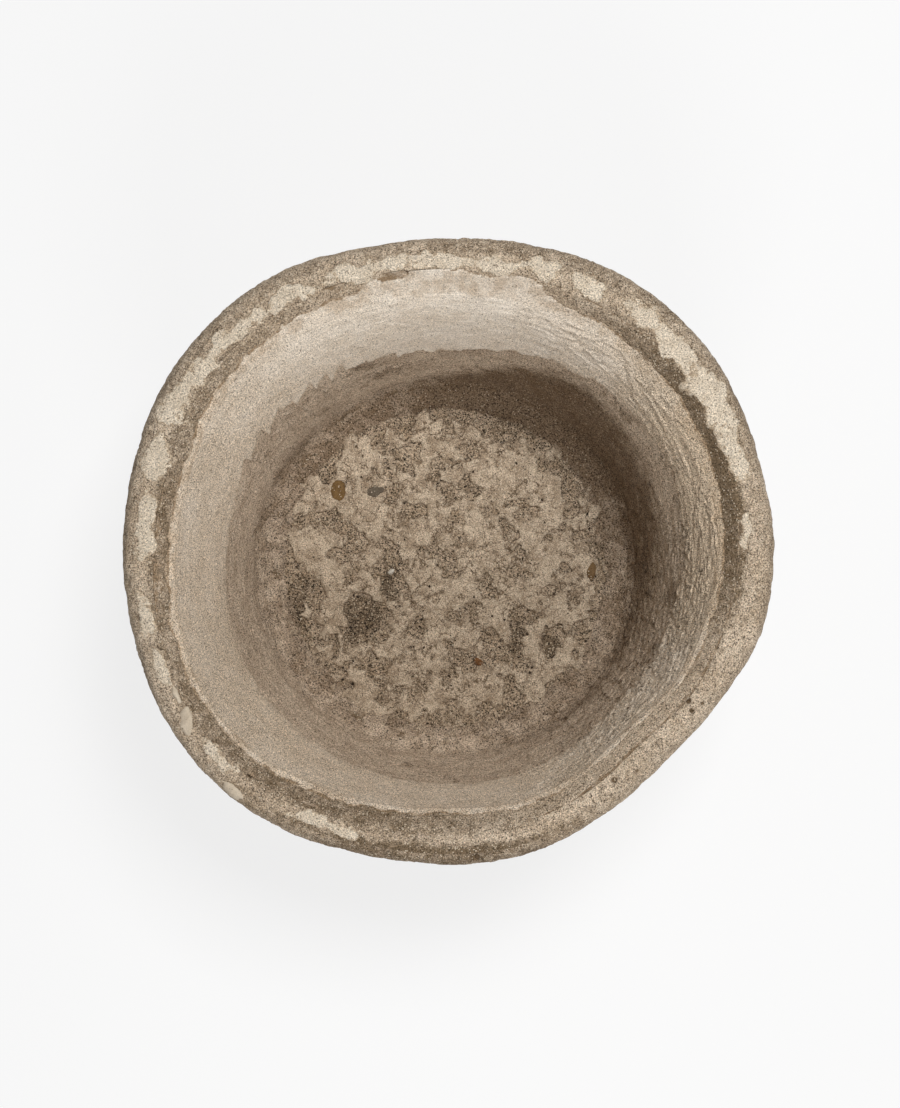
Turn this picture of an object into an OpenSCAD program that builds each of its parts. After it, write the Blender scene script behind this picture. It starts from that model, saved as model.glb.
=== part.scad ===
// Hand-cut stone trough planter, free-standing, open at the top.
// One heavy block carries everything: two coats of lime plaster on its cavity wall,
// a gritty bed with a worn skim on its floor, and remains of skim on its rim.
// Millimetres, +Z up. The origin is under the middle of the block, on the ground.

/* [Block] */
// Height from the ground to the highest place of the rim
height = 300; // [250:5:360]
// Mean radius of the rim's outer edge
rim_r = 290; // [275:1:320]
// Mean radius of the foot of the block
foot_r = 250; // [230:1:270]
// How far the outer wall swells between foot and rim
belly = 8; // [0:1:15]
// Radius of the worn edge round the foot
foot_round = 22; // [10:1:35]
// Depth of the hewing marks on the outer wall
hew_depth = 1.5; // [0:0.1:3]

/* [Rim] */
// Width of the rim from its outer edge to the mouth
rim_w = 49; // [44:1:60]
// Width of the worn outer shoulder
shoulder_w = 14; // [8:1:18]
// Height of the worn outer shoulder
shoulder_h = 20; // [10:1:30]
// Width of the inner bevel between the crest and the mouth
bevel_w = 16; // [12:1:20]
// Drop of the inner bevel from the crest to the mouth
bevel_h = 16; // [8:1:24]
// Fall of the rim's top from the crest to the shoulder
rim_fall = 3; // [0:0.5:6]
// Dip of the crest at its lowest place
crest_dip = 5; // [0:0.5:10]

/* [Cavity] */
// Thickness of the stone under the cavity
floor_t = 70; // [50:1:90]
// Mean radius of the cavity at its floor
floor_r = 185; // [170:1:200]
// Mean depth of the wall's knee below the mouth
knee_h = 70; // [60:1:85]
// How far the knee stands outside the edge of the floor, on average
knee_out = 22; // [14:1:28]
// How far the middle of the floor lies to the right of the middle of the mouth
floor_x = -2; // [-8:1:8]
// How far the middle of the floor lies behind the middle of the mouth
floor_y = -15; // [-20:1:0]

/* [Wall coats] */
// Number of tool strokes round the wall
strokes = 48; // [36:1:54]
// Depth of the step where one stroke meets the next
stroke_depth = 1.5; // [0:0.1:2]
// Thickness of the undercoat
undercoat_t = 3; // [2:0.5:5]
// Thickness of the finish coat
finish_t = 2; // [1.5:0.5:4]
// Thickness of the finish coat at its worn lower edge
finish_edge_t = 0.8; // [0.8:0.1:1.4]
// Gap left at the bond between one layer and the next
bond = 0.25; // [0.15:0.05:0.4]

/* [Floor] */
// Thickness of the gritty bed
bed_t = 8; // [4:1:14]
// Height of the cove that the undercoat forms at the foot of the wall
cove_h = 14; // [8:1:20]
// Width of the cove that the undercoat forms at the foot of the wall
cove_w = 22; // [14:1:28]
// Thickness of the worn skim on the bed
skim_t = 2.5; // [1.5:0.5:4]
// Distance from the edge of the cove to the mean edge of the skim
skim_inset = 3; // [3:1:10]
// Number of small hollows worn through the skim
hollows = 56; // [30:1:70]
// Largest radius of a small hollow
hollow_r = 15; // [9:0.5:17]
// How far the pebbles stand above the skim
pebble_proud = 1.5; // [0.5:0.5:3]
// Largest radius of a loose grain
grain_r = 2; // [1:0.25:2.5]

/* [Rim skim] */
// Thickness of the skim left on the rim
patch_t = 1.2; // [0.8:0.1:2.5]
// Thickness of the splashes on the rim
splash_t = 3; // [2:0.5:5]
// Thickness of both where they feather out
feather_t = 0.4; // [0.3:0.1:0.6]

/* [Hidden] */

// How far the rim's edge stands out from its mean circle, every 15 degrees from the right
OUTLINE = [4, 3, 6, 7, 4, -3, -7, -5, 4, 8, 9, 6, 5, 6, 9, 8, 3, -5, -7, -7, -13, -17, -11, 2];
// The same for the mouth
MOUTH = [2, 3, 2, 2, -1, -3, -5, -3, 3, 6, 7, 4, 6, 11, 15, 12, 2, -5, -10, -7, -10, -15, -6, -2];
// How much deeper than its mean the knee lies, every 30 degrees from the right: shallow at the
// back, where the wall leans out like a bowl, and deep at the front left, where it runs straight
KNEE_DEEPER = [-10, -25, -34, -35, -25, 10, 35, 35, 35, 30, 25, 10];
// How much further out than its mean the knee stands, given the same way
KNEE_FURTHER = [-4, 0, 0, -2, -4, -2, 4, 5, 3, 2, 0, -3];
// Depth below the mouth at which the finish coat ends, every 30 degrees from the right
BREAK = [50, 42, 62, 90, 80, 85, 108, 104, 100, 92, 85, 72];

// Skim left on the rim: first and last angle, then its inner and outer edge across the rim's top
PATCHES = [
    [1, 7, 0.05, 0.45],
    [14, 23, 0.1, 0.8],
    [24.5, 35, 0.15, 0.95],
    [37.5, 47, 0.2, 0.7],
    [48, 56, 0.2, 0.85],
    [57.5, 67, 0.25, 0.7],
    [69, 113, 0.1, 0.8],
    [119, 126, 0.15, 0.8],
    [128, 143, 0.2, 0.75],
    [144.5, 155, 0.05, 0.95],
    [157.5, 167, 0.05, 0.9],
    [168.5, 181, 0.1, 0.9],
    [190, 196, 0.1, 0.95],
    [198.5, 204, 0.1, 0.65],
    [219, 224, 0.2, 0.8],
    [235, 254, 0.1, 0.95]
];
// Splashes on the rim, given the same way
SPLASHES = [
    [206, 209.5, 0.05, 0.55],
    [211, 215.5, 0.05, 0.8],
    [226.5, 230, 0.45, 0.95]
];
// Pebbles bedded in the floor: direction and distance from the middle of the floor, as an
// angle and a share of the skim's radius, then length, width and turn
PEBBLES = [
    [145, 0.85, 21, 15, 80],
    [134, 0.66, 17, 10, 10],
    [358, 0.92, 18, 9, 85],
    [186, 0.36, 7, 5, 30],
    [288, 0.64, 10, 7, 150]
];
// Large hollows worn through the skim, given the same way
WORN = [
    [215, 0.61, 58, 44, 20],
    [202, 0.35, 22, 34, 10],
    [120, 0.93, 48, 26, 15],
    [120, 0.43, 30, 20, -20],
    [87, 0.65, 40, 14, -10],
    [313, 0.66, 20, 52, -5],
    [323, 0.83, 26, 42, 0],
    [285, 0.93, 60, 22, 10],
    [66, 0.93, 40, 24, -25],
    [193, 0.95, 16, 50, 5]
];

// Each stroke is one flat facet up to this share of its width, then the step to the next
STROKE_FLAT = 0.9;
// Share of the outline's waviness that reaches down to the foot
FOOT_WAVE = 0.7;
// Share of the stroke depth that shows through the finish coat
SHOW_THROUGH = 0.3;
// Share of the stroke depth at the mouth, where the strokes are shallow
MOUTH_STROKE = 0.4;
// Steps of the rounded edges
ROUND_STEPS = 3;
// Steps of the outer wall between foot and shoulder
WALL_STEPS = 8;
// Steps of the finish coat down the wall, and of the bare undercoat below it
FINISH_STEPS = 4;
BARE_STEPS = 3;
// Steps of the undercoat's cove over the edge of the bed
COVE_STEPS = 4;
// Corners of the outlines of hollows and pebbles, and how uneven these are
HOLLOW_CORNERS = 11;
HOLLOW_UNEVEN = 0.4;
PEBBLE_CORNERS = 10;
PEBBLE_UNEVEN = 0.2;
// Angle between the sections of an island on the rim, the width of its ends and how
// uneven it is, as shares of its width
ISLAND_PITCH = 2;
ISLAND_END = 0.25;
ISLAND_UNEVEN = 0.3;
// How ragged the edge of the floor's skim is, as a share of its inset
SKIM_RAGGED = 0.6;
// A pebble's shape: share of its outline at each share of its height
PEBBLE_SHAPE = [[0.8, 0], [1, 0.45], [0.85, 0.8], [0.45, 1]];
// A loose grain's top: share of its foot, and its turn
GRAIN_TOP = 0.6;
GRAIN_TURN = 30;
// Golden angle, which spreads the hollows and the grains evenly
SPREAD = 137.5;

GRID = 2 * strokes;
bevel_slope = bevel_h / bevel_w;
coats_t = undercoat_t + finish_t + 2 * bond;
bed_top = floor_t + bond + bed_t;
skim_bottom = bed_top + bond;
cove_top = bed_top + bond + cove_h;

// A repeatable random number between -1 and 1 for a pair of counters
function pick(i, j) = rands(-1, 1, 1, 57 * i + 1013 * j + 5)[0];

// Smooth curve through the values of a list spaced evenly round the full circle
function around(list, a) =
    let (
        n = len(list),
        x = ((a % 360) + 360) % 360 / 360 * n,
        i = floor(x),
        f = x - i,
        p = list[(i + n - 1) % n],
        q = list[i % n],
        r = list[(i + 1) % n],
        s = list[(i + 2) % n]
    )
    q + f * (r - p + f * (2 * p - 5 * q + 4 * r - s + f * (3 * q - p - 3 * r + s))) / 2;

// Angle of column i: every stroke has a column where it starts and one where its flat ends
function column(i) = 360 / strokes * (floor(i / 2) + (i % 2) * STROKE_FLAT);
function at(a, r, z) = [r * cos(a), r * sin(a), z];

function edge_r(a) = rim_r + around(OUTLINE, a);
function mouth_r(a) = rim_r - rim_w + around(MOUTH, a);
function floor_edge_r(a) = floor_r + floor_x * cos(a) + floor_y * sin(a);
function crest_z(a) = height - crest_dip * (1 + 0.6 * sin(2 * a + 40) + 0.4 * sin(5 * a)) / 2;
function mouth_z(a) = crest_z(a) - bevel_h;
function knee_depth(a) = knee_h + around(KNEE_DEEPER, a);
function knee_r(a) = floor_edge_r(a) + knee_out + around(KNEE_FURTHER, a);

// The block is centred on its outline
RIM_EDGE = [for (i = [0:GRID - 1]) at(column(i), edge_r(column(i)), 0)];
function middle(list) = (min(list) + max(list)) / 2;
CENTRE = [middle([for (p = RIM_EDGE) p.x]), middle([for (p = RIM_EDGE) p.y]), 0];

// Finished face of the cavity wall as radius and height: a curve from the mouth (t = 0)
// past the knee to the floor (t = 1)
function wall(a, t) =
    let (
        mouth = [mouth_r(a), mouth_z(a)],
        knee = [knee_r(a), mouth_z(a) - knee_depth(a)],
        foot = [floor_edge_r(a), floor_t + bond]
    )
    (1 - t) * (1 - t) * mouth + 2 * t * (1 - t) * knee + t * t * foot;

// Place on that curve at which it passes a height
function wall_at(a, z) =
    let (
        drop = mouth_z(a) - floor_t - bond,
        knee = knee_depth(a),
        bend = 2 * knee - drop,
        deep = mouth_z(a) - z
    )
    abs(bend) < 0.01 ? deep / drop : (knee - sqrt(knee * knee - bend * deep)) / bend;

// Levels down the wall that all its layers share: mouth, break line, top of the cove, top of
// the bed, floor
function levels(a) =
    let (
        edge = wall_at(a, mouth_z(a) - around(BREAK, a)),
        cove = wall_at(a, cove_top)
    )
    [
        for (k = [0:FINISH_STEPS]) edge * k / FINISH_STEPS,
        for (k = [1:BARE_STEPS]) edge + (cove - edge) * k / BARE_STEPS,
        wall_at(a, bed_top + bond),
        1
    ];
LEVELS = [for (i = [0:GRID - 1]) levels(column(i))];
BREAK_LEVEL = FINISH_STEPS;
COVE_LEVEL = FINISH_STEPS + BARE_STEPS;
BED_LEVEL = COVE_LEVEL + 1;
FLOOR_LEVEL = BED_LEVEL + 1;

// Tool strokes: each facet runs from a raised start to a sunken end
function stroke(i, k) =
    stroke_depth * (i % 2 - 0.5) * (MOUTH_STROKE + (1 - MOUTH_STROKE) * LEVELS[i][k]);
function finish_at(k) = k < BREAK_LEVEL ? finish_t : finish_edge_t;

// Distance of each layer's faces behind the finished face, at column i and level k
function finish_face(i, k) = SHOW_THROUGH * stroke(i, k);
function finish_back(i, k) = finish_at(k) + stroke(i, k);
function undercoat_face(i, k) = finish_back(i, k) + bond;

// A point behind the finished wall; at the mouth every layer ends flush with the bevel
function behind(i, k, depth) =
    let (p = wall(column(i), LEVELS[i][k]))
    at(column(i), p[0] + depth, p[1] + (k == 0 ? depth * bevel_slope : 0));

// Outer wall of the block: radius at a share t of the way from foot to shoulder
function outer_r(a, t) =
    let (foot = foot_r + FOOT_WAVE * around(OUTLINE, a))
    foot + (edge_r(a) - foot) * t + belly * sin(180 * t);

// Broad facets left by the hewing of the outer wall, fading out at the foot and the shoulder
function hewing(a, t) =
    hew_depth * sin(180 * t) * (0.6 * sin(14 * a + 500 * t) + 0.4 * sin(23 * a - 900 * t));

// Crest and shoulder rings bound the rim's top, where the skim lies
function crest_point(i) = at(column(i), mouth_r(column(i)) + bevel_w, crest_z(column(i)));
function shoulder_point(i) =
    at(column(i), edge_r(column(i)) - shoulder_w, crest_z(column(i)) - rim_fall);

// Solid through a list of rings with as many points each, closed by its two end rings,
// or endless when the last ring leads back to the first
module loft(rings, endless = false) {
    n = len(rings[0]);
    count = len(rings);
    sides = [
        for (k = [0:count - (endless ? 1 : 2)], i = [0:n - 1])
            let (
                here = k * n + i,
                next = k * n + (i + 1) % n,
                up = (k + 1) % count * n + i,
                up_next = (k + 1) % count * n + (i + 1) % n
            )
            each [[here, up, up_next], [here, up_next, next]]
    ];
    ends = endless ? [] : [
        [for (i = [0:n - 1]) i],
        [for (i = [n - 1:-1:0]) (count - 1) * n + i]
    ];
    polyhedron([for (ring = rings, p = ring) p], concat(sides, ends), convexity = 8);
}

// Puts a piece into the frame of the whole trough
module placed() {
    translate(-CENTRE) children();
}

// The carved block: foot, hewn outer wall, worn shoulder, rim, bevel, cavity wall and floor
module stone_trough() {
    foot = [
        for (q = [0:ROUND_STEPS])
            let (f = 90 * q / ROUND_STEPS)
            [for (i = [0:GRID - 1])
                at(column(i), outer_r(column(i), 0) - foot_round * (1 - sin(f)), foot_round * (1 - cos(f)))]
    ];
    outside = [
        for (k = [1:WALL_STEPS])
            let (t = k / WALL_STEPS)
            [for (i = [0:GRID - 1])
                let (a = column(i), top = crest_z(a) - rim_fall - shoulder_h)
                at(a, outer_r(a, t) + hewing(a, t), foot_round + (top - foot_round) * t)]
    ];
    shoulder = [
        for (q = [1:ROUND_STEPS - 1])
            let (f = 90 * q / ROUND_STEPS)
            [for (i = [0:GRID - 1])
                let (a = column(i), top = crest_z(a) - rim_fall)
                at(a, edge_r(a) - shoulder_w * (1 - cos(f)), top - shoulder_h * (1 - sin(f)))]
    ];
    rim = [
        [for (i = [0:GRID - 1]) shoulder_point(i)],
        [for (i = [0:GRID - 1]) crest_point(i)]
    ];
    cavity = [
        for (k = [0:BED_LEVEL])
            [for (i = [0:GRID - 1]) behind(i, k, coats_t)]
    ];
    floor_ring = [for (i = [0:GRID - 1]) at(column(i), wall(column(i), 1)[0] + coats_t, floor_t)];
    color("tan") placed() loft(concat(foot, outside, shoulder, rim, cavity, [floor_ring]));
}

function pull_in(p, d) = [p.x, p.y, 0] * (1 - d / norm([p.x, p.y]));

// Darker coat against the stone, struck up with a broad blade, from the mouth to the bed, over
// which it is drawn out in a cove with a thin edge
module wall_undercoat() {
    back = [for (k = [BED_LEVEL:-1:0]) [for (i = [0:GRID - 1]) behind(i, k, coats_t - bond)]];
    face = [for (k = [0:COVE_LEVEL]) [for (i = [0:GRID - 1]) behind(i, k, undercoat_face(i, k))]];
    cove = [
        for (k = [1:COVE_STEPS])
            let (d = k / COVE_STEPS, rise = feather_t + (cove_h - feather_t) * (1 - d) * (1 - d))
            [for (p = face[COVE_LEVEL]) pull_in(p, cove_w * d) + [0, 0, bed_top + bond + rise]]
    ];
    toe = [for (p = face[COVE_LEVEL]) pull_in(p, cove_w) + [0, 0, bed_top + bond]];
    color("rosybrown") placed() loft(concat(back, face, cove, [toe]), endless = true);
}

// Pale trowelled coat over it, from the mouth down to its worn edge
module wall_finish_coat() {
    back = [for (k = [BREAK_LEVEL:-1:0]) [for (i = [0:GRID - 1]) behind(i, k, finish_back(i, k))]];
    face = [for (k = [0:BREAK_LEVEL]) [for (i = [0:GRID - 1]) behind(i, k, finish_face(i, k))]];
    color("antiquewhite") placed() loft(concat(back, face), endless = true);
}

// Coarse gritty bed on the stone floor, as far as the wall of the stone
module floor_bed() {
    bottom = [for (i = [0:GRID - 1]) behind(i, FLOOR_LEVEL, coats_t - bond)];
    top = [for (i = [0:GRID - 1]) let (p = behind(i, BED_LEVEL, coats_t - bond)) [p.x, p.y, bed_top]];
    color("dimgray") placed() loft([bottom, top]);
}

// Place on the floor, in the mouth's frame, of a row of the lists above
skim_r = floor_r - cove_w - skim_inset;
function place(row) =
    [floor_x, floor_y] + skim_r * row[1] * [cos(row[0]), sin(row[0])];
function turned(u, v, turn) = [u * cos(turn) - v * sin(turn), u * sin(turn) + v * cos(turn)];

// Uneven outline round such a place, grown by a margin
function blob(row, seed, corners, unevenness, margin = 0) = [
    for (j = [0:corners - 1])
        let (
            a = 360 * j / corners,
            wave = 1 - unevenness * (1 + pick(j, seed)) / 2,
            u = (row[2] / 2 * wave + margin) * cos(a),
            v = (row[3] / 2 * wave + margin) * sin(a)
        )
        place(row) + turned(u, v, row[4])
];
function pebble_outline(k, margin = 0) = blob(PEBBLES[k], k, PEBBLE_CORNERS, PEBBLE_UNEVEN, margin);

// Small hollows spread over the floor, clear of the pebbles and of the large hollows,
// each of its own length and turn
SPREAD_HOLLOWS = [
    for (k = [0:hollows - 1])
        let (
            reach = (1 - hollow_r / skim_r) * sqrt((k + 0.5) / hollows),
            length = 2 * hollow_r * (0.8 + 0.2 * pick(k, 1)),
            width = length * (0.7 + 0.2 * pick(k, 2)),
            row = [SPREAD * k, reach, length, width, 90 * pick(k, 3)],
            taken = concat(PEBBLES, WORN),
            room = min([for (t = taken) norm(place(row) - place(t)) - max(t[2], t[3]) / 2])
        )
        if (room > length / 2) row
];
HOLLOWS = concat(WORN, SPREAD_HOLLOWS);

// Pale skim on the bed, worn through to the grit in many hollows
module floor_skim() {
    color("wheat") placed() translate([0, 0, skim_bottom]) linear_extrude(skim_t) difference() {
        polygon([
            for (i = [0:2:GRID - 1])
                let (
                    a = column(i),
                    r = floor_edge_r(a) - cove_w - skim_inset * (1 + SKIM_RAGGED * pick(i, 3))
                )
                [r * cos(a), r * sin(a)]
        ]);
        for (k = [0:len(HOLLOWS) - 1]) polygon(blob(HOLLOWS[k], k, HOLLOW_CORNERS, HOLLOW_UNEVEN));
        for (k = [0:len(PEBBLES) - 1]) polygon(pebble_outline(k, 2 * bond));
    }
}

// Worn pebbles that rest on the bed, each in its pocket in the skim
module bedded_pebbles() {
    tall = skim_t + pebble_proud;
    color("saddlebrown") placed() for (k = [0:len(PEBBLES) - 1])
        let (c = place(PEBBLES[k]), edge = pebble_outline(k))
        loft([
            for (s = PEBBLE_SHAPE)
                [for (p = edge) [each c + (p - c) * s[0], bed_top + bond + tall * s[1]]]
        ]);
}

// One loose grain that lies on the bed
module grain(centre, r, turn) {
    loft([
        for (s = [[1, 0, 0], [GRAIN_TOP, 1, GRAIN_TURN]])
            [for (j = [0:2])
                at(120 * j + turn + s[2], r * s[0], bed_top + bond + r * s[1]) + [each centre, 0]]
    ]);
}

// How far from the middle of a hollow a grain can lie and still be clear of its edge
HOLLOW_CLEAR = (1 - HOLLOW_UNEVEN) * cos(180 / HOLLOW_CORNERS);
function grain_reach(size) = max(0, size / 2 * HOLLOW_CLEAR - grain_r - bond);

// Loose grains that lie on the bed in the hollows, more of them in the wider ones
module loose_grit() {
    color("darkslategray") placed() for (k = [0:len(HOLLOWS) - 1])
        let (
            row = HOLLOWS[k],
            count = max(1, floor(grain_reach(min(row[2], row[3])) / grain_r))
        )
        for (g = [0:count - 1])
            let (
                out = sqrt(g / max(1, count - 1)),
                u = grain_reach(row[2]) * out * cos(SPREAD * g),
                v = grain_reach(row[3]) * out * sin(SPREAD * g),
                r = grain_r * (0.8 + 0.2 * pick(g, k))
            )
            grain(place(row) + turned(u, v, row[4]), r, 180 * pick(k, g));
}

// Point on the rim's top at any angle, a share s of the way from the crest to the shoulder
function rim_point(a, s) =
    let (
        x = a * strokes / 360,
        k = floor(x),
        on_flat = x - k < STROKE_FLAT,
        i = (2 * k + (on_flat ? 0 : 1)) % GRID,
        j = (i + 1) % GRID,
        f = on_flat ? (x - k) / STROKE_FLAT : (x - k - STROKE_FLAT) / (1 - STROKE_FLAT),
        crest = crest_point(i) * (1 - f) + crest_point(j) * f,
        shoulder = shoulder_point(i) * (1 - f) + shoulder_point(j) * f
    )
    crest + s * (shoulder - crest);

// A thin domed island on the rim's top, from a row of the lists above: a section of five
// corners every few degrees, narrowing to blunt ends
module rim_island(row, thick, seed) {
    steps = max(4, ceil((row[1] - row[0]) / ISLAND_PITCH));
    mid = (row[2] + row[3]) / 2;
    lift = [0, 0, bond];
    edge = lift + [0, 0, feather_t];
    loft([
        for (q = [0:steps])
            let (
                a = row[0] + (row[1] - row[0]) * q / steps,
                swell = ISLAND_END + (1 - ISLAND_END) * sqrt(sin(180 * q / steps)),
                half = (row[3] - row[2]) / 2 * swell,
                inner = mid - half * (1 - ISLAND_UNEVEN * (1 + pick(q, seed)) / 2),
                outer = mid + half * (1 - ISLAND_UNEVEN * (1 + pick(seed, q)) / 2),
                crown = lift + [0, 0, feather_t + (thick - feather_t) * swell]
            )
            [
                rim_point(a, outer) + lift,
                rim_point(a, inner) + lift,
                rim_point(a, inner) + edge,
                rim_point(a, mid) + crown,
                rim_point(a, outer) + edge
            ]
    ]);
}

// Islands of pale skim left on the top of the rim
module rim_skim_patches() {
    color("linen") placed() for (k = [0:len(PATCHES) - 1])
        rim_island(PATCHES[k], patch_t, k);
}

// Smooth splashes on the rim at the left front
module rim_splashes() {
    color("seashell") placed() for (k = [0:len(SPLASHES) - 1])
        rim_island(SPLASHES[k], splash_t, k + len(PATCHES));
}

stone_trough();
wall_undercoat();
wall_finish_coat();
floor_bed();
floor_skim();
bedded_pebbles();
loose_grit();
rim_skim_patches();
rim_splashes();
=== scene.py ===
import math
import random

import bpy
import numpy as np
from mathutils import Matrix, Vector, noise


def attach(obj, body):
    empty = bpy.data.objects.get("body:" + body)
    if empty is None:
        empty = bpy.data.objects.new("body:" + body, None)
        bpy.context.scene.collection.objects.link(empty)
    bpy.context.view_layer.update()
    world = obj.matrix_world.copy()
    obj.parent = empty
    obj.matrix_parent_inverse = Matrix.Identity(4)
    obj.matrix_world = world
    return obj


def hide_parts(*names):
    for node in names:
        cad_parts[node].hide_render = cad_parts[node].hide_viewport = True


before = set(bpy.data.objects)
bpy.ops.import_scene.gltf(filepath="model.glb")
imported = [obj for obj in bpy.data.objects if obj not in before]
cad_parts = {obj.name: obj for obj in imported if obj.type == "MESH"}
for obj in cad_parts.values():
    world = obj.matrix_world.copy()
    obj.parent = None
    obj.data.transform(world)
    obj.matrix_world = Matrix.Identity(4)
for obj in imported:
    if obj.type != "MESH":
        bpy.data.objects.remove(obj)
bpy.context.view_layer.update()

# The block: one piece of sandy stone, hollowed and dressed by hand with point and chisel.
# It is turned here as a true round first, and then pushed into its worn, uneven outline,
# with the marks of the tools, the pits and the weathering cut in afterwards.
MM = 0.001
HEIGHT, RIM_R, FOOT_R, BELLY, FOOT_ROUND = 300, 290, 250, 8, 22
RIM_W, SHOULDER_W, SHOULDER_H, RIM_FALL, CREST_DIP = 49, 14, 20, 3, 5
BEVEL_W, BEVEL_H = 16, 16
FLOOR_T, FLOOR_R, FLOOR_X, FLOOR_Y = 70, 185, -2, -15
FOOT_WAVE, HEW_DEPTH = 0.7, 1.5
COATS_T, BOND = 5.5, 0.25
# Columns round the trough, and rows on each part of the block
TURNS = 900
OUTSIDE_ROWS, SHOULDER_ROWS, RIM_ROWS, BEVEL_ROWS, CAVITY_ROWS = 42, 12, 13, 9, 9
BEVEL_FOOT = 2.5
# Direction in which the mouth's edge is worn round most
WORN_AT = 316
# How far the rim's edge and the mouth stand out from their mean circles, every 15 degrees
OUTLINE = (4, 3, 6, 7, 4, -3, -7, -5, 4, 8, 9, 6, 5, 6, 9, 8, 3, -5, -7, -7, -13, -17, -11, 2)
MOUTH = (2, 3, 2, 2, -1, -3, -5, -3, 3, 6, 7, 4, 6, 11, 15, 12, 2, -5, -10, -7, -10, -15, -6, -2)
# The wall's knee: its depth below the mouth, and how far it stands outside the floor's edge
KNEE_DEPTH = (60, 45, 36, 35, 45, 80, 105, 105, 105, 100, 95, 80)
KNEE_OUT = (18, 22, 22, 20, 18, 20, 26, 27, 25, 24, 22, 19)
# How much brown is painted on the bevel and on the rim's outer edge, every 30 degrees:
# painted shade where they face away from the light, with a film of dirt
BEVEL_SHADE_AND_FILM = (1, 1, 0.45, 0, 0.3, 0.62, 0.68, 0.6, 0.75, 0.6, 0.12, 0.1)
EDGE_SHADE_AND_FILM = (0.2, 0.6, 0.65, 0.5, 0.4, 0.5, 0.2, 0.2, 0.65, 1.2, 0.5, 0.15)
# Pits in the rim: direction, distance from the middle, radius and depth
PITS = (
    (306, 252, 5, 3), (308.5, 256, 3.5, 2.5), (310.6, 259, 3.5, 3), (317.2, 252, 3, 3),
    (326.6, 260, 4, 3.5), (329, 265, 2.5, 3), (328.1, 251, 4, 3), (136.2, 277, 2.2, 2), (140, 264, 3, 2),
    (228.4, 267, 3.2, 2.5), (88.3, 284, 4, 3), (275, 276, 6, 4))


def around(values, angle):
    """A smooth curve through values spaced evenly round the full circle."""
    values = np.array(values, float)
    count = len(values)
    place = np.mod(angle, 360) / 360 * count
    low = np.floor(place).astype(int)
    f = place - low
    p, q, r, s = (values[(low + k) % count] for k in (-1, 0, 1, 2))
    return q + f * (r - p + f * (2 * p - 5 * q + 4 * r - s + f * (3 * q - p - 3 * r + s))) / 2


def cosd(angle):
    return np.cos(np.radians(angle))


def sind(angle):
    return np.sin(np.radians(angle))


def edge_r(a):
    return RIM_R + around(OUTLINE, a)


def mouth_r(a):
    return RIM_R - RIM_W + around(MOUTH, a)


def floor_edge_r(a):
    return FLOOR_R + FLOOR_X * cosd(a) + FLOOR_Y * sind(a)


def crest_z(a):
    return HEIGHT - CREST_DIP * (1 + 0.6 * sind(2 * a + 40) + 0.4 * sind(5 * a)) / 2


def mouth_z(a):
    return crest_z(a) - BEVEL_H


def outer_r(a, t):
    """Radius of the outer wall at a share t of the way up."""
    foot = FOOT_R + FOOT_WAVE * around(OUTLINE, a)
    return foot + (edge_r(a) - foot) * t + BELLY * sind(180 * t)


def hewing(a, t):
    """Broad facets that the point left on the outer wall."""
    return HEW_DEPTH * sind(180 * t) * (0.6 * sind(14 * a + 500 * t) + 0.4 * sind(23 * a - 900 * t))


def wall(a, t):
    """Radius and height of the finished cavity wall, from the mouth (0) to the floor (1)."""
    mouth = mouth_r(a), mouth_z(a)
    knee = floor_edge_r(a) + around(KNEE_OUT, a), mouth_z(a) - around(KNEE_DEPTH, a)
    foot = floor_edge_r(a), FLOOR_T + BOND + 0 * a
    return [(1 - t) ** 2 * m + 2 * t * (1 - t) * k + t * t * f for m, k, f in zip(mouth, knee, foot)]


def wall_share(a, deep):
    """Share of the way down the wall at which it lies that deep below the mouth."""
    knee = around(KNEE_DEPTH, a)
    bend = 2 * knee - (mouth_z(a) - FLOOR_T - BOND)
    bend = np.where(abs(bend) < 0.5, 0.5, bend)
    return (knee - np.sqrt(knee ** 2 - bend * deep)) / bend


angles = np.arange(TURNS) * 360 / TURNS
# The middle of the outline's box, taken at both ends of 48 equal strokes round the trough
columns = np.array([7.5 * (k + f) for k in range(48) for f in (0, 0.9)])
CENTRE = np.array([
    (part(columns) * edge_r(columns)).max() / 2 + (part(columns) * edge_r(columns)).min() / 2
    for part in (cosd, sind)
])


def ring(radius, height):
    """One level ring of points, in the frame of the whole trough, in millimetres."""
    flat = np.stack([radius * cosd(angles), radius * sind(angles)], 1) - CENTRE
    return np.column_stack([flat, height + 0 * angles])


def wall_ring(share, outward=0, raised=0):
    """A ring at a share of the way down the finished wall, moved outward and up."""
    radius, level = wall(angles, share)
    return ring(radius + outward, level + raised)


def enter(mode):
    bpy.ops.object.mode_set(mode=mode)


def pick(*pieces):
    """Selects these pieces and nothing else, with the first of them active."""
    bpy.ops.object.select_all(action="DESELECT")
    for piece in pieces:
        piece.select_set(True)
        bpy.context.view_layer.objects.active = pieces[0]


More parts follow.
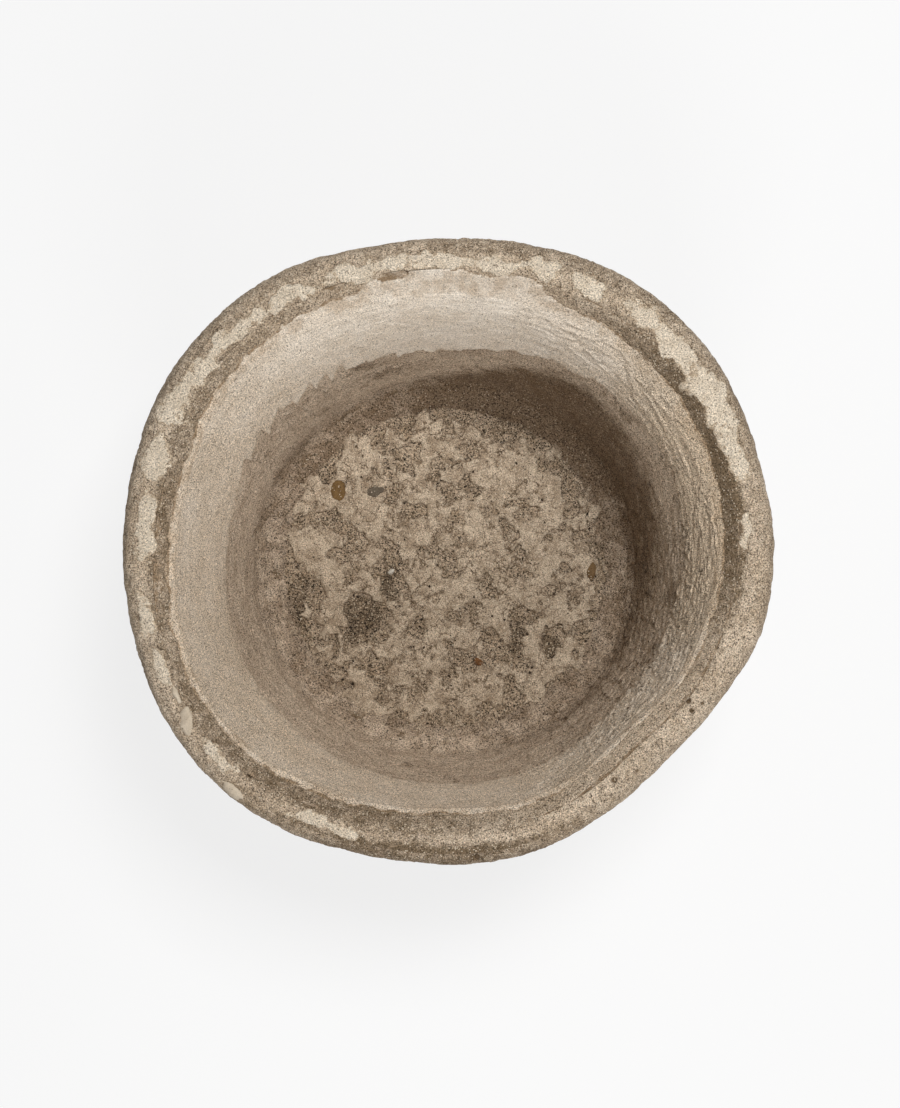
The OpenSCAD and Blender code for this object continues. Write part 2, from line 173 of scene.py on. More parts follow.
def turned_blank(name, rings):
    """A true round with the section that the rings have in one place, turned about the axis."""
    section = [(math.hypot(*(r[0][:2] + CENTRE)) * MM, r[0][2] * MM) for r in rings]
    pick()
    bpy.ops.mesh.primitive_plane_add(size=MM, location=(section[0][0], 0, section[0][1]))
    piece = bpy.context.object
    piece.name = piece.data.name = name
    enter("EDIT")
    bpy.ops.mesh.merge(type="CENTER")
    for here, there in zip(section, section[1:]):
        step = (there[0] - here[0], 0, there[1] - here[1])
        bpy.ops.mesh.extrude_region_move(TRANSFORM_OT_translate={"value": step})
    enter("OBJECT")
    bpy.ops.object.transform_apply()
    lathe = piece.modifiers.new("lathe", "SCREW")
    lathe.steps = lathe.render_steps = TURNS
    bpy.ops.object.modifier_apply(modifier="lathe")
    enter("EDIT")
    bpy.ops.mesh.select_all(action="SELECT")
    bpy.ops.mesh.remove_doubles(threshold=0.01 * MM)
    bpy.ops.mesh.normals_make_consistent()
    enter("OBJECT")
    bpy.ops.object.shade_smooth()
    return piece, np.array(section)


def corners(piece):
    spots = np.empty(len(piece.data.vertices) * 3)
    piece.data.vertices.foreach_get("co", spots)
    return spots.reshape(-1, 3)


def move_corners(piece, spots):
    piece.data.vertices.foreach_set("co", np.ascontiguousarray(spots, np.float32).ravel())
    piece.data.update()


def polar(spots, shift=(0, 0)):
    """Direction of each spot, in degrees, and its distance from the axis, once it is shifted."""
    x, y = (spots[:, :2] + shift).T
    return np.degrees(np.arctan2(y, x)), np.hypot(x, y)


def push_out_of_round(piece, section, rings):
    """Moves each corner of a turned blank to its place on the uneven rings."""
    spots = corners(piece)
    turn, radius = polar(spots)
    column = np.rint(turn / 360 * TURNS).astype(int) % TURNS
    away = (radius[:, None] - section[None, :, 0]) ** 2 + (spots[:, 2, None] - section[None, :, 1]) ** 2
    row = away.argmin(1)
    move_corners(piece, np.array(rings)[row, column] * MM)
    return row, column


def facing(rings, closed=False):
    """Outward directions of a surface given as rings of points."""
    along = np.roll(rings, -1, 1) - np.roll(rings, 1, 1)
    across = np.roll(rings, -1, 0) - np.roll(rings, 1, 0) if closed else np.gradient(rings, axis=0)
    out = np.cross(along, across)
    return out / np.maximum(np.linalg.norm(out, axis=-1, keepdims=True), 1e-9)


def lumps(spots, size, octaves=4, seed=0):
    """Seeded smooth noise, about -1 to 1, with lumps of that size in millimetres."""
    flat = spots.reshape(-1, 3) / size + (17.3 * seed, 5.9 * seed, 11.1 * seed)
    values = [noise.fractal(Vector(p), 0.9, 2.1, octaves) for p in flat]
    return np.array(values).reshape(spots.shape[:-1])


def paint(piece, name, values):
    """Keeps a mask on the piece's corners for its material."""
    layer = piece.data.attributes.new(name, "FLOAT", "POINT")
    layer.data.foreach_set("value", np.ascontiguousarray(values, np.float32))


def fade(low, high, value):
    """From 0 at the low value to 1 at the high one, smoothly."""
    f = np.clip((value - low) / (high - low), 0, 1)
    return f * f * (3 - 2 * f)


rings, part_of = [], []


def add_ring(part, radius, height):
    rings.append(ring(radius, height))
    part_of.append(part)


add_ring("foot", 0 * angles, 0)
for f in range(0, 91, 15):
    add_ring("foot", outer_r(angles, 0) - FOOT_ROUND * (1 - sind(f)), FOOT_ROUND * (1 - cosd(f)))
shoulder_foot = crest_z(angles) - RIM_FALL - SHOULDER_H
for k in range(1, OUTSIDE_ROWS + 1):
    t = k / OUTSIDE_ROWS
    add_ring("outside", outer_r(angles, t) + hewing(angles, t), FOOT_ROUND + (shoulder_foot - FOOT_ROUND) * t)
for k in range(1, SHOULDER_ROWS + 1):
    f = 90 * k / (SHOULDER_ROWS + 1)
    add_ring("shoulder", edge_r(angles) - SHOULDER_W * (1 - cosd(f)), shoulder_foot + SHOULDER_H * sind(f))
crest_r, rim_end_r = mouth_r(angles) + BEVEL_W, edge_r(angles) - SHOULDER_W
for s in np.linspace(1, 0, RIM_ROWS):
    add_ring("rim", crest_r + (rim_end_r - crest_r) * s, crest_z(angles) - RIM_FALL * s)
for w in np.linspace(BEVEL_W, BEVEL_FOOT, BEVEL_ROWS)[1:]:
    add_ring("bevel", mouth_r(angles) + w, mouth_z(angles) + w * BEVEL_H / BEVEL_W)
for t in np.linspace(0.02, 1, CAVITY_ROWS):
    add_ring("cavity", wall(angles, t)[0] + COATS_T, wall(angles, t)[1] - BOND)
add_ring("cavity", 0 * angles, FLOOR_T)

block, section = turned_blank("trough_block", rings)
rings, part_of = np.array(rings), np.array(part_of)
rim_rows = np.isin(part_of, ("shoulder", "rim", "bevel"))
worn_rows = rim_rows | (part_of == "outside")


def wear_round(rings, rows, times, share=1.0):
    """Wears the rows of a section round: each goes half way to the mean of its neighbours."""
    for _ in range(times):
        mean = (np.roll(rings, 1, 0) + np.roll(rings, -1, 0)) / 2
        rings[rows] += 0.5 * share * (mean - rings)[rows]


# The crest between rim and bevel is worn round, most of all at the lower right
crest_rows = np.flatnonzero(rim_rows)[3:-2]
wear_round(rings, crest_rows, 7)
wear_round(rings, crest_rows, 22, fade(25, 12, abs(angles - WORN_AT))[None, :, None])

spots = rings[worn_rows]
out = facing(rings)[worn_rows]
rim_share = np.isin(part_of[worn_rows], ("rim", "bevel"))[:, None] * np.ones(TURNS)
height = spots[..., 2]
arc = np.radians(angles) * RIM_R
broad = lumps(spots, 70, 3, 1)
chipped = lumps(spots, 16, 5, 2)
gritty = lumps(spots, 5, 2, 3)
hewn = (height + 0.55 * arc * cosd(2 * angles) + 22 * lumps(spots, 55, 2, 4)) / 13
hewn = np.mod(hewn, 1) ** 1.6 * fade(-0.25, 0.2, lumps(spots, 45, 3, 5))
scored = abs(lumps(spots * (1, 1, 0.3), 6, 2, 6))
scored *= fade(250, 285, np.hypot(spots[..., 0], spots[..., 1]))
relief = 0.9 * broad + 0.8 * chipped + 0.3 * gritty - 0.8 * hewn * (1 - rim_share) - 0.5 * scored
relief -= np.where(rim_share > 0, 0.6, 0.2 + 0.8 * fade(200, 260, height))
relief = np.minimum(relief, 0.1 + 0.9 * fade(255, 200, height) * fade(10, 60, height))
for turn, reach, radius, depth in PITS:
    spot = np.array([reach * cosd(turn), reach * sind(turn)])
    away = np.linalg.norm(spots[..., :2] - spot, axis=-1) * (1 + 0.25 * chipped)
    relief -= depth * fade(radius, 0.35 * radius, away) * fade(272, 284, height)
rings[worn_rows] += out * relief[..., None]
# Painted shade: the depth of each hollow is kept so that the deepest pits and marks are darkened in the
# stone's colour
hollow_depth = np.zeros(rings.shape[:2])
hollow_depth[worn_rows] = -relief
# Painted shade with a film of dirt: brown on the bevel and down the outer edge and wall, darkest where they
# face away from the light
shade_and_film = np.zeros(rings.shape[:2])
shade_and_film[np.isin(part_of, ("bevel", "cavity"))] = around(BEVEL_SHADE_AND_FILM, angles)
out_share = np.linspace(1, 0, RIM_ROWS)[:, None]
shade_and_film[part_of == "rim"] = (
    around(BEVEL_SHADE_AND_FILM, angles) * fade(0.7, 0.02, out_share)
    + around(EDGE_SHADE_AND_FILM, angles) * fade(0.35, 1, out_share))
shade_and_film[np.isin(part_of, ("shoulder", "outside", "foot"))] = 0.7 * around(EDGE_SHADE_AND_FILM, angles)

block_row, column = push_out_of_round(block, section, rings)
paint(block, "hollow", hollow_depth[block_row, column])
paint(block, "shade_and_film", shade_and_film[block_row, column])


def tint(r, g, b):
    """A colour given as screen values from 0 to 255."""
    screen = np.array((r, g, b)) / 255
    return (*np.where(screen <= 0.04, screen / 12.92, ((screen + 0.055) / 1.055) ** 2.4), 1)


def add(tree, kind, inputs=(), **settings):
    """A shader node with its settings, and its inputs either set or joined to other sockets."""
    node = tree.nodes.new("ShaderNode" + kind)
    for name, value in settings.items():
        setattr(node, name, value)
    for name, value in dict(inputs).items():
        if isinstance(value, bpy.types.NodeSocket):
            tree.links.new(value, node.inputs[name])
        else:
            node.inputs[name].default_value = value
    return node


def mix(tree, share, first, second):
    return add(tree, "Mix", {0: share, 6: first, 7: second}, data_type="RGBA").outputs[2]


def ramp(tree, value, low, high):
    return add(tree, "MapRange", {0: value, 1: low, 2: high}, interpolation_type="SMOOTHSTEP").outputs[0]


def sums(tree, kind, first, second, third=0.0):
    return add(tree, "Math", {0: first, 1: second, 2: third}, operation=kind).outputs[0]


def scaled(tree, value, factor):
    return sums(tree, "MULTIPLY", value, factor)


def mask(tree, name):
    return add(tree, "Attribute", attribute_name=name).outputs["Fac"]


def noise_at(tree, place, size, detail, rough):
    """Noise with lumps of that size in millimetres."""
    made = add(tree, "TexNoise", {
        "Vector": place, "Scale": 1000 / size, "Detail": detail, "Roughness": rough})
    return made.outputs["Fac"]


def blotched(tree, place, size, first, second, detail=6, rough=0.7, low=0.38, high=0.62):
    """A ground colour that wanders between two shades, in blotches of that size."""
    share = ramp(tree, noise_at(tree, place, size, detail, rough), low, high)
    return mix(tree, share, tint(*first), tint(*second))


def ragged(tree, name, place, size, reach, low, high):
    """A mask from a painted value, its edge made ragged by noise."""
    worn = noise_at(tree, place, size, 6, 0.75)
    worn = add(tree, "MapRange", {0: worn, 1: 0.25, 2: 0.75, 3: -reach, 4: reach}).outputs[0]
    return ramp(tree, sums(tree, "ADD", mask(tree, name), worn), low, high)


def laid(tree, colour, *layers):
    """The colour with shades laid over it in turn, each by its mask and strength."""
    for share, strength, shade in layers:
        colour = mix(tree, scaled(tree, share, strength), colour, tint(*shade))
    return colour


def open_material(piece, name):
    """A new material on the piece: its tree, and the place of the point that it shades."""
    material = bpy.data.materials.new(name)
    material.use_nodes = True
    tree = material.node_tree
    tree.nodes.clear()
    shader = add(tree, "BsdfPrincipled", {"Roughness": 0.92, "Specular IOR Level": 0.2})
    add(tree, "OutputMaterial", {"Surface": shader.outputs[0]})
    piece.data.materials.append(material)
    return tree, add(tree, "TexCoord").outputs["Object"]


def finish_material(tree, coat, depth, *heights):
    """Joins the coat's colour, and its height with others added, to the shader."""
    colour, height = coat
    for other in heights:
        height = sums(tree, "ADD", height, other)
    bump = add(tree, "Bump", {"Distance": depth * MM, "Height": height})
    shader = tree.nodes["Principled BSDF"]
    tree.links.new(colour, shader.inputs["Base Color"])
    tree.links.new(bump.outputs[0], shader.inputs["Normal"])


def open_group(name, inputs, outputs):
    """A node group with its sockets, and the place of the point that it shades."""
    group = bpy.data.node_groups.new(name, "ShaderNodeTree")
    for in_out, sockets in (("INPUT", inputs), ("OUTPUT", outputs)):
        for socket in sockets:
            kind = "Color" if socket.endswith("Color") else "Float"
            group.interface.new_socket(socket, in_out=in_out, socket_type="NodeSocket" + kind)
    wanted = group.nodes.new("NodeGroupInput").outputs
    given = group.nodes.new("NodeGroupOutput").inputs
    return group, wanted, given, add(group, "TexCoord").outputs["Object"]


def bent(group, place, wander, reach):
    """The place pushed aside by a noise's colour, up to that many millimetres."""
    made = add(group, "VectorMath", {0: wander.outputs["Color"], 1: (reach * MM,) * 3, 2: place},
               operation="MULTIPLY_ADD")
    return made.outputs[0]


# Sand in a binder: gives a colour its fine sand, and darker and lighter grains
sand_grain, wanted, given, place = open_group(
    "sand_grain", ("Color", "Dark Color", "Light Color", "Size", "Contrast", "Dark Share", "Light Share"),
    ("Color", "Height"))
scale = sums(sand_grain, "DIVIDE", 1000, wanted["Size"])
sand = add(sand_grain, "TexNoise", {"Vector": place, "Scale": scale, "Detail": 2, "Roughness": 0.8})
grey = add(sand_grain, "MapRange", {0: sand.outputs["Fac"], 1: 0.3, 2: 0.7, 3: -1, 4: 1}).outputs[0]
shade = sums(sand_grain, "MULTIPLY_ADD", grey, wanted["Contrast"], 1)
colour = add(sand_grain, "VectorMath", {0: wanted["Color"], "Scale": shade}, operation="SCALE").outputs[0]
cells = add(sand_grain, "TexVoronoi", {"Vector": bent(sand_grain, place, sand, 0.9), "Scale": scale})
lots = add(sand_grain, "SeparateColor", {0: cells.outputs["Color"]}).outputs
body = ramp(sand_grain, cells.outputs["Distance"], 0.6, 0.3)
for lot, kind in zip(lots, ("Dark", "Light")):
    chosen = sums(sand_grain, "LESS_THAN", lot, wanted[kind + " Share"])
    colour = mix(sand_grain, scaled(sand_grain, chosen, body), colour, wanted[kind + " Color"])
high = scaled(sand_grain, scaled(sand_grain, lots[2], body), 0.35)
sand_grain.links.new(colour, given["Color"])
sand_grain.links.new(sums(sand_grain, "ADD", sand.outputs["Fac"], high), given["Height"])


def sanded(tree, colour, size, contrast, dark, light, dark_colour=(70, 56, 42), light_colour=(222, 207, 184)):
    """A colour and a height with sand: its size, contrast, and shares of dark and light grains."""
    made = add(tree, "Group", node_tree=sand_grain, inputs={
        "Color": colour, "Size": size, "Contrast": contrast, "Dark Share": dark, "Light Share": light,
        "Dark Color": tint(*dark_colour), "Light Color": tint(*light_colour)})
    return made.outputs["Color"], made.outputs["Height"]


tree, place = open_material(block, "sandy_stone")
mottle = ramp(tree, noise_at(tree, place, 7, 5, 0.75), 0.42, 0.6)
# The brown on the bevel and the outer edge is painted shade with a film of dirt, and the dark in the deepest
# hollows is painted shade
colour = laid(
    tree, blotched(tree, place, 45, (184, 165, 142), (200, 182, 160), 4, 0.6),
    (mottle, 0.4, (162, 141, 117)), (ragged(tree, "shade_and_film", place, 14, 0.5, 0, 1.15), 0.93, (107, 89, 67)),
    (ramp(tree, mask(tree, "hollow"), 1.3, 3.5), 1, (104, 86, 66)))
coat = sanded(tree, colour, 1.3, 0.95, 0.16, 0.1)
finish_material(tree, coat, 0.7, noise_at(tree, place, 3, 4, 0.75))
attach(block, "root")
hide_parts("stone_trough")

# The undercoat: a brown lime mortar pressed on the cavity wall and struck up with a broad
# blade, stroke by stroke, so a small upright step shows where one stroke meets the next. At
# the foot it is drawn out over the bed in a cove with a thin, ragged edge.
UNDER_BACK, UNDER_FACE, UNDER_BARE = 5.25, 2.6, 1.05
# Depth below the mouth at which the finish coat ends, every 30 degrees
BREAK = (50, 42, 62, 90, 80, 85, 108, 104, 100, 92, 85, 72)
BED_TOP = 78.25
COVE_W, COVE_H = 24, 14
# How far the cove's ragged edge lies from the wall, every 30 degrees
COVE_REACH = (13, 11, 11, 11, 13, 16, 19, 21, 22, 20, 17, 14)
# How much brown is painted at the foot of the wall, painted shade where the wall meets the floor
# with some dirt, and the share of the way down at which half of it is reached, every 30 degrees
FOOT_SHADE_AND_DIRT = (0.66, 0.88, 1.25, 1.25, 1, 0.85, 0.6, 0.6, 0.65, 0.5, 0.6, 0.6)
FOOT_SHADE_AND_DIRT_FROM = (0.5, 0.38, 0.44, 0.86, 0.92, 0.84, 0.85, 0.85, 0.88, 0.86, 0.78, 0.68)
# Steps between strokes: direction and depth
STEPS = (
    (6, 0.6), (14, 0.5), (23, 0.7), (33, 0.6), (42, 0.5), (52, 0.6), (61, 0.5), (70, 0.6), (79, 0.4),
    (88, 0.5), (97, 0.5), (105, 0.6), (113.4, 1.2), (120, 0.8), (124.7, 0.8), (129.4, 0.9), (136.3, 1.1),
    (140, 0.9), (147.2, 1.6), (155.6, 1.4), (163.8, 1.0), (172, 0.5), (181, 0.4), (192, 0.4), (204, 0.3),
    (216, 0.3), (228, 0.4), (240, 0.4), (252, 0.4), (262, 0.5), (273, 0.6), (285, 1.0), (291, 0.6),
    (299, 1.3), (305.6, 1.1), (311, 0.8), (317.8, 1.6), (322.5, 1.1), (329.4, 1.4), (334.4, 1.2),
    (340.6, 1.2), (347, 1.0), (353, 0.8))

cove_share = wall_share(angles, mouth_z(angles) - BED_TOP - COVE_H)
shares = np.concatenate([np.linspace(0.004, 0.22, 5)[:-1], np.linspace(0.22, 1, 74)])
face, back = [], []
for share in shares:
    radius, level = wall(angles, share * cove_share)
    bare = fade(-6, 2, mouth_z(angles) - level - around(BREAK, angles))
    depth = UNDER_FACE + (UNDER_BARE - UNDER_FACE) * bare
    face.append(ring(radius + depth, level - 1.5 * (share < 0.03)))
lip_r = wall(angles, cove_share)[0] + UNDER_BARE
out_share = np.linspace(0, 1.5, 19)[1:]
for f in out_share:
    face.append(ring(lip_r - COVE_W * f, BED_TOP + COVE_H * max(1 - f, 0) ** 2))
back.append(ring(lip_r - COVE_W * out_share[-1], BED_TOP - 3))
back += [wall_ring(share * cove_share, UNDER_BACK, -1.5) for share in shares[::-10]]
rings = np.array(face[::-1] + back[::-1] + face[-1:])
count = len(face)
wear_round(rings, slice(len(out_share) - 7, len(out_share) + 7), 10)
undercoat, section = turned_blank("wall_undercoat_struck", rings)


def bed_swell(spots):
    """Broad swells of the floor, in millimetres."""
    return 1.1 * lumps(spots * (1, 1, 0) + (0, 0, BED_TOP), 45, 3, 31)


marks = sorted(STEPS)


def strokes(spots, depth):
    """Relief of the strokes: each facet rises along its width, and a narrow groove ends it."""
    lean = angles + 3.5 * lumps(spots, 45, 3, 11) + 4 * (depth - 0.6)
    relief = np.zeros(spots.shape[:2])
    for k, (turn, drop) in enumerate(marks):
        following = marks[(k + 1) % len(marks)][0] + (360 if k + 1 == len(marks) else 0)
        ahead = np.mod(lean - turn, 360)
        inside = ahead < following - turn
        relief += np.where(inside, drop * (ahead / (following - turn) - 0.5), 0)
        relief -= 0.9 * drop * np.exp(-(np.minimum(ahead, 360 - ahead) / 0.35) ** 2)
    return relief * (0.75 + 0.5 * lumps(spots, 60, 2, 12))


turned = np.mod(angles + 180, 360) - 180
lower_right = fade(-82, -55, turned) * fade(20, -4, turned)


def ledges(spots, below):
    """Level ledges left by the blade, a few millimetres apart, strongest at the lower right."""
    arc = np.radians(turned) * RIM_R
    drawn_out = np.stack([arc / 6 + 0 * below, below, 0 * below], -1)
    flow = below / 10 - arc / 120 + 1.5 * lumps(drawn_out, 9, 4, 23)
    return (np.mod(flow, 1) ** 1.5 - 0.4) * (0.25 + lower_right) * (0.8 + 0.5 * lumps(spots, 35, 2, 24))


spots = rings[:count]
depth = np.append(shares, np.ones(len(out_share)))[::-1, None] + 0 * angles
relief = strokes(spots, depth) + 2.2 * ledges(spots, mouth_z(angles) - spots[..., 2])
relief += 0.5 * lumps(spots * (0.25, 0.25, 1), 9, 4, 13) + 0.25 * lumps(spots, 8, 4, 14)
drawn = np.append(np.zeros(len(shares)), out_share)[::-1, None] + 0 * angles
relief *= 1 - 0.75 * fade(0.1, 0.8, drawn)
rings[:count] += facing(rings, True)[:count] * relief[..., None]
away = COVE_W * drawn - around(COVE_REACH, angles) + 22 * lumps(spots, 38, 7, 15) + 5 * lumps(spots, 7, 4, 16)
rings[:count, :, 2] += (bed_swell(spots) + 1.1 - 3 * fade(-4, 5, away)) * fade(0.05, 0.5, drawn)
rings[-1] = rings[0]
row, column = push_out_of_round(undercoat, section, rings)
level = mouth_z(angles) - rings[..., 2]
# Painted shade with some dirt: brown low on the wall and in its cove, strongest at the upper right and the
# top, where the wall's foot lies in shade
shade_and_dirt_from = around(FOOT_SHADE_AND_DIRT_FROM, angles)
shaded_and_dirty = fade(shade_and_dirt_from - 0.2, shade_and_dirt_from + 0.2, level / (mouth_z(angles) - BED_TOP))
shaded_and_dirty *= around(FOOT_SHADE_AND_DIRT, angles)


def paint_rings(piece, name, values, rest=0.0):
    """Paints a mask that is given on the first rings; the others get one value."""
    full = np.full(rings.shape[:2], rest)
    full[:len(values)] = values
    paint(piece, name, full[row, column])


paint_rings(undercoat, "shade_and_dirt", shaded_and_dirty)
# Painted shade: the grooves and steps of the strokes are darkened by their depth
paint_rings(undercoat, "hollow", -relief)
paint_rings(undercoat, "toe", fade(-9, 1, away))
paint(undercoat, "carved", lower_right[column])

# Marks of a blade: noise drawn out level along the wall
blade_marks, wanted, given, place = open_group("blade_marks", ("Along", "Across", "Warp"), ("Lines",))
flat, upright = (sums(blade_marks, "DIVIDE", 1000, wanted[name]) for name in ("Along", "Across"))
stretch = add(blade_marks, "CombineXYZ", {0: flat, 1: flat, 2: upright}).outputs[0]
drawn = add(blade_marks, "VectorMath", {0: place, 1: stretch}, operation="MULTIPLY").outputs[0]
lines = add(blade_marks, "TexNoise", {
    "Vector": drawn, "Scale": 1, "Detail": 4, "Roughness": 0.65, "Distortion": wanted["Warp"]})
blade_marks.links.new(lines.outputs["Fac"], given["Lines"])

# Hairlines: thin wandering lines, broken off here and there
hairlines, wanted, given, place = open_group("hairlines", ("Size", "Width", "Share"), ("Lines",))
scale = sums(hairlines, "DIVIDE", 1000, wanted["Size"])
wander = add(hairlines, "TexNoise", {"Vector": place, "Scale": scaled(hairlines, scale, 2), "Detail": 3})
nets = add(hairlines, "TexVoronoi", {
    "Vector": bent(hairlines, place, wander, 14), "Scale": scale}, feature="DISTANCE_TO_EDGE")
width = sums(hairlines, "DIVIDE", wanted["Width"], wanted["Size"])
line = ramp(hairlines, nets.outputs["Distance"], width, 0)
held = add(hairlines, "TexNoise", {"Vector": place, "Scale": scale, "Detail": 2}).outputs["Fac"]
limit = sums(hairlines, "SUBTRACT", 1, wanted["Share"])
held = add(hairlines, "MapRange", {0: held, 1: limit, 2: sums(hairlines, "ADD", limit, 0.06)}).outputs[0]
hairlines.links.new(scaled(hairlines, line, held), given["Lines"])


def lines_of(tree, group, **values):
    return add(tree, "Group", values, node_tree=group).outputs["Lines"]


def carved_lines(tree, strength):
    """Level marks of the blade that stand out where the wall was carved most deeply."""
    lines = lines_of(tree, blade_marks, Along=45, Across=3.5, Warp=0.9)
    return scaled(tree, scaled(tree, lines, mask(tree, "carved")), strength)


tree, place = open_material(undercoat, "struck_mortar")
lines = lines_of(tree, blade_marks, Along=26, Across=1.5, Warp=0.3)
broad = lines_of(tree, blade_marks, Along=60, Across=9, Warp=0.6)
toe = ragged(tree, "toe", place, 10, 0.4, 0.2, 0.9)
shade_and_dirt = ragged(tree, "shade_and_dirt", place, 18, 0.35, 0.15, 0.95)
# The brown low on the wall is painted shade with some dirt, and it adds dark grains too; the dark in the
# grooves and steps is painted shade
colour = laid(
    tree, blotched(tree, place, 22, (182, 163, 142), (200, 182, 161)), (toe, 0.8, (150, 131, 110)),
    (ramp(tree, lines, 0.48, 0.66), 0.5, (140, 121, 100)),
    (ramp(tree, broad, 0.5, 0.7), 0.5, (198, 181, 161)), (shade_and_dirt, 0.85, (108, 87, 65)),
    (ramp(tree, mask(tree, "hollow"), 0.7, 1.7), 1, (96, 78, 60)),
    (lines_of(tree, hairlines, Size=34, Width=0.7, Share=0.35), 1, (112, 94, 74)))
dark = sums(tree, "MULTIPLY_ADD", sums(tree, "MAXIMUM", toe, shade_and_dirt), 0.26, 0.08)
coat = sanded(tree, colour, 1.4, 0.9, dark, 0.05, (46, 37, 29), (196, 178, 154))
finish_material(tree, coat, 0.6, scaled(tree, lines, 1.3), carved_lines(tree, 4))
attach(undercoat, "root")
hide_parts("wall_undercoat")

# The finish coat: a pale lime plaster laid thinly over the undercoat with a trowel. It laps
# a little on to the bevel, ends low on the wall in a worn, ragged edge, and keeps the lips
# of the trowel's strokes at the right.
LAP, COAT_PROUD, COAT_BACK, WALL_H = 15, 0.3, 2.0, 206
# How much the coat is darkened, every 30 degrees: painted shade on the walls that face away
# from the light, most at the right, with some soil; the upper wall, left palest, is painted light
COAT_SHADE_AND_SOIL = (1, 0.85, 0.35, 0.2, 0.35, 0.55, 0.6, 0.65, 0.65, 0.6, 0.65, 0.6)

laps = np.linspace(LAP, 0.5, 13)
shares = np.linspace(0, 1, 62)
face = [ring(mouth_r(angles) + w, mouth_z(angles) + w * BEVEL_H / BEVEL_W) for w in laps]
lowest = wall_share(angles, around(BREAK, angles) + 20)
face = np.array(face + [wall_ring(share * lowest) for share in shares])
out = facing(face)
below = mouth_z(angles) - face[..., 2]
lap = np.zeros(face.shape[:2])
lap[:len(laps)] = laps[:, None]

arc = np.radians(turned) * (RIM_R - RIM_W)
level_marks = np.stack([arc / 5 + 0 * below, below, 0 * below], -1)
right = fade(78, 60, turned) * fade(-2, 14, turned)
flow = below / 24 + arc / 150 + 1.5 * lumps(level_marks, 13, 3, 21)
lips = np.mod(flow, 1) ** 1.5 * right
relief = 1.5 * lips + 2.6 * ledges(face, below) + 0.5 * lumps(face, 45, 3, 25)
relief += 0.6 * strokes(face, below / WALL_H) * (1 - right) * fade(0, 30, below)
relief += 0.3 * lumps(face * (0.3, 0.3, 1), 8, 4, 26) + 0.15 * lumps(face, 4, 2, 27)
starts = np.array([turn for turn, _ in marks])
stroke = np.searchsorted(starts, angles, "right") - 1
begun, ended = starts[stroke], np.append(starts, 360 + starts[0])[stroke + 1]
begun = np.where(stroke < 0, starts[-1] - 360, begun)
phase = np.mod(angles - begun, 360) / np.mod(ended - begun, 360)
flaked = fade(98, 112, angles) * fade(175, 160, angles)
edge = around(BREAK, angles) - below + 7 * lumps(face * (1, 1, 0.6), 18, 5, 28)
chance = np.random.default_rng(5)
uneven, shifted = chance.uniform(0.2, 1.3, len(marks)), chance.uniform(-4, 4, len(marks))
edge += (4 + 14 * flaked) * (phase - 0.5) * uneven[stroke] + shifted[stroke] * flaked
over = fade(64, 74, angles) * fade(112, 104, angles)
rounded = fade(26, 8, abs(angles - WORN_AT))
top = 4.3 + 9 * over - rounded * np.where(lap > 3.6, 6, -1.5) - lap + 0.7 * np.maximum(below, 0) * (lap == 0)
top += np.clip((2.4 + 6.6 * over) * lumps(face, 26, 7, 29), -2.6, 6)
held = fade(-1.6, 1.2, edge) * fade(-0.9, 0.9, top)
merged = rounded * fade(16, 2, below)
relief = relief * held * fade(0, 12, below + 4) * (1 - merged) + COAT_PROUD * held - 1.5 * (1 - held)
relief -= 0.6 * merged * held
face += out * relief[..., None]
back = np.array([wall_ring(share * lowest, COAT_BACK, -2) for share in (1, 0.6, 0.3, 0.03)])
back[0, :, 2] += 1.0
rings = np.concatenate([face, back, face[:1]])
finish_coat, section = turned_blank("wall_finish_coat_trowelled", rings)
row, column = push_out_of_round(finish_coat, section, rings)
clean = fade(40, 55, angles) * fade(115, 100, angles)
worn = fade(34 - 22 * np.maximum(flaked, clean), -4, edge)
paint_rings(finish_coat, "thin", worn, 1.0)
paint_rings(finish_coat, "upper", fade(14, 0, below))
# Painted shadow: a thin dark line along the coat's top edge, where it stands off the bevel
paint_rings(finish_coat, "lip", fade(2.2, 0.6, top))
# Painted shade with some soil, by direction round the wall
paint(finish_coat, "shaded_and_soiled", around(COAT_SHADE_AND_SOIL, angles)[column])
paint(finish_coat, "carved", lower_right[column])

tree, place = open_material(finish_coat, "lime_plaster")
lines = lines_of(tree, blade_marks, Along=34, Across=2, Warp=0.5)
# The coat's darker sides are painted shade with some soil and its pale upper wall painted light; the dark
# line at its top edge is a painted shadow
coat_shade_and_soil = ragged(tree, "shaded_and_soiled", place, 40, 0.2, 0, 1)
colour = laid(
    tree, blotched(tree, place, 30, (236, 223, 206), (244, 233, 218), 6, 0.65),
    (coat_shade_and_soil, 1, (198, 179, 155)), (ramp(tree, lines, 0.5, 0.7), 0.3, (160, 141, 120)),
    (ragged(tree, "thin", place, 9, 0.5, 0.45, 1), 0.5, (184, 166, 145)),
    (ragged(tree, "upper", place, 18, 0.7, 0.7, 1.3), 0.55, (176, 152, 124)),
    (lines_of(tree, hairlines, Size=40, Width=0.5, Share=0.25), 1, (168, 149, 128)),
    (ragged(tree, "lip", place, 12, 0.7, 0.4, 1.2), 1, (140, 118, 93)))
contrast = sums(tree, "MULTIPLY_ADD", coat_shade_and_soil, 0.7, 0.4)
dark = sums(tree, "MULTIPLY_ADD", coat_shade_and_soil, 0.06, 0.02)
coat = sanded(tree, colour, 1.2, contrast, dark, 0.03, (92, 76, 60))
finish_material(tree, coat, 0.5, scaled(tree, lines, 1.1), carved_lines(tree, 4.5))
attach(finish_coat, "root")
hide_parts("wall_finish_coat")

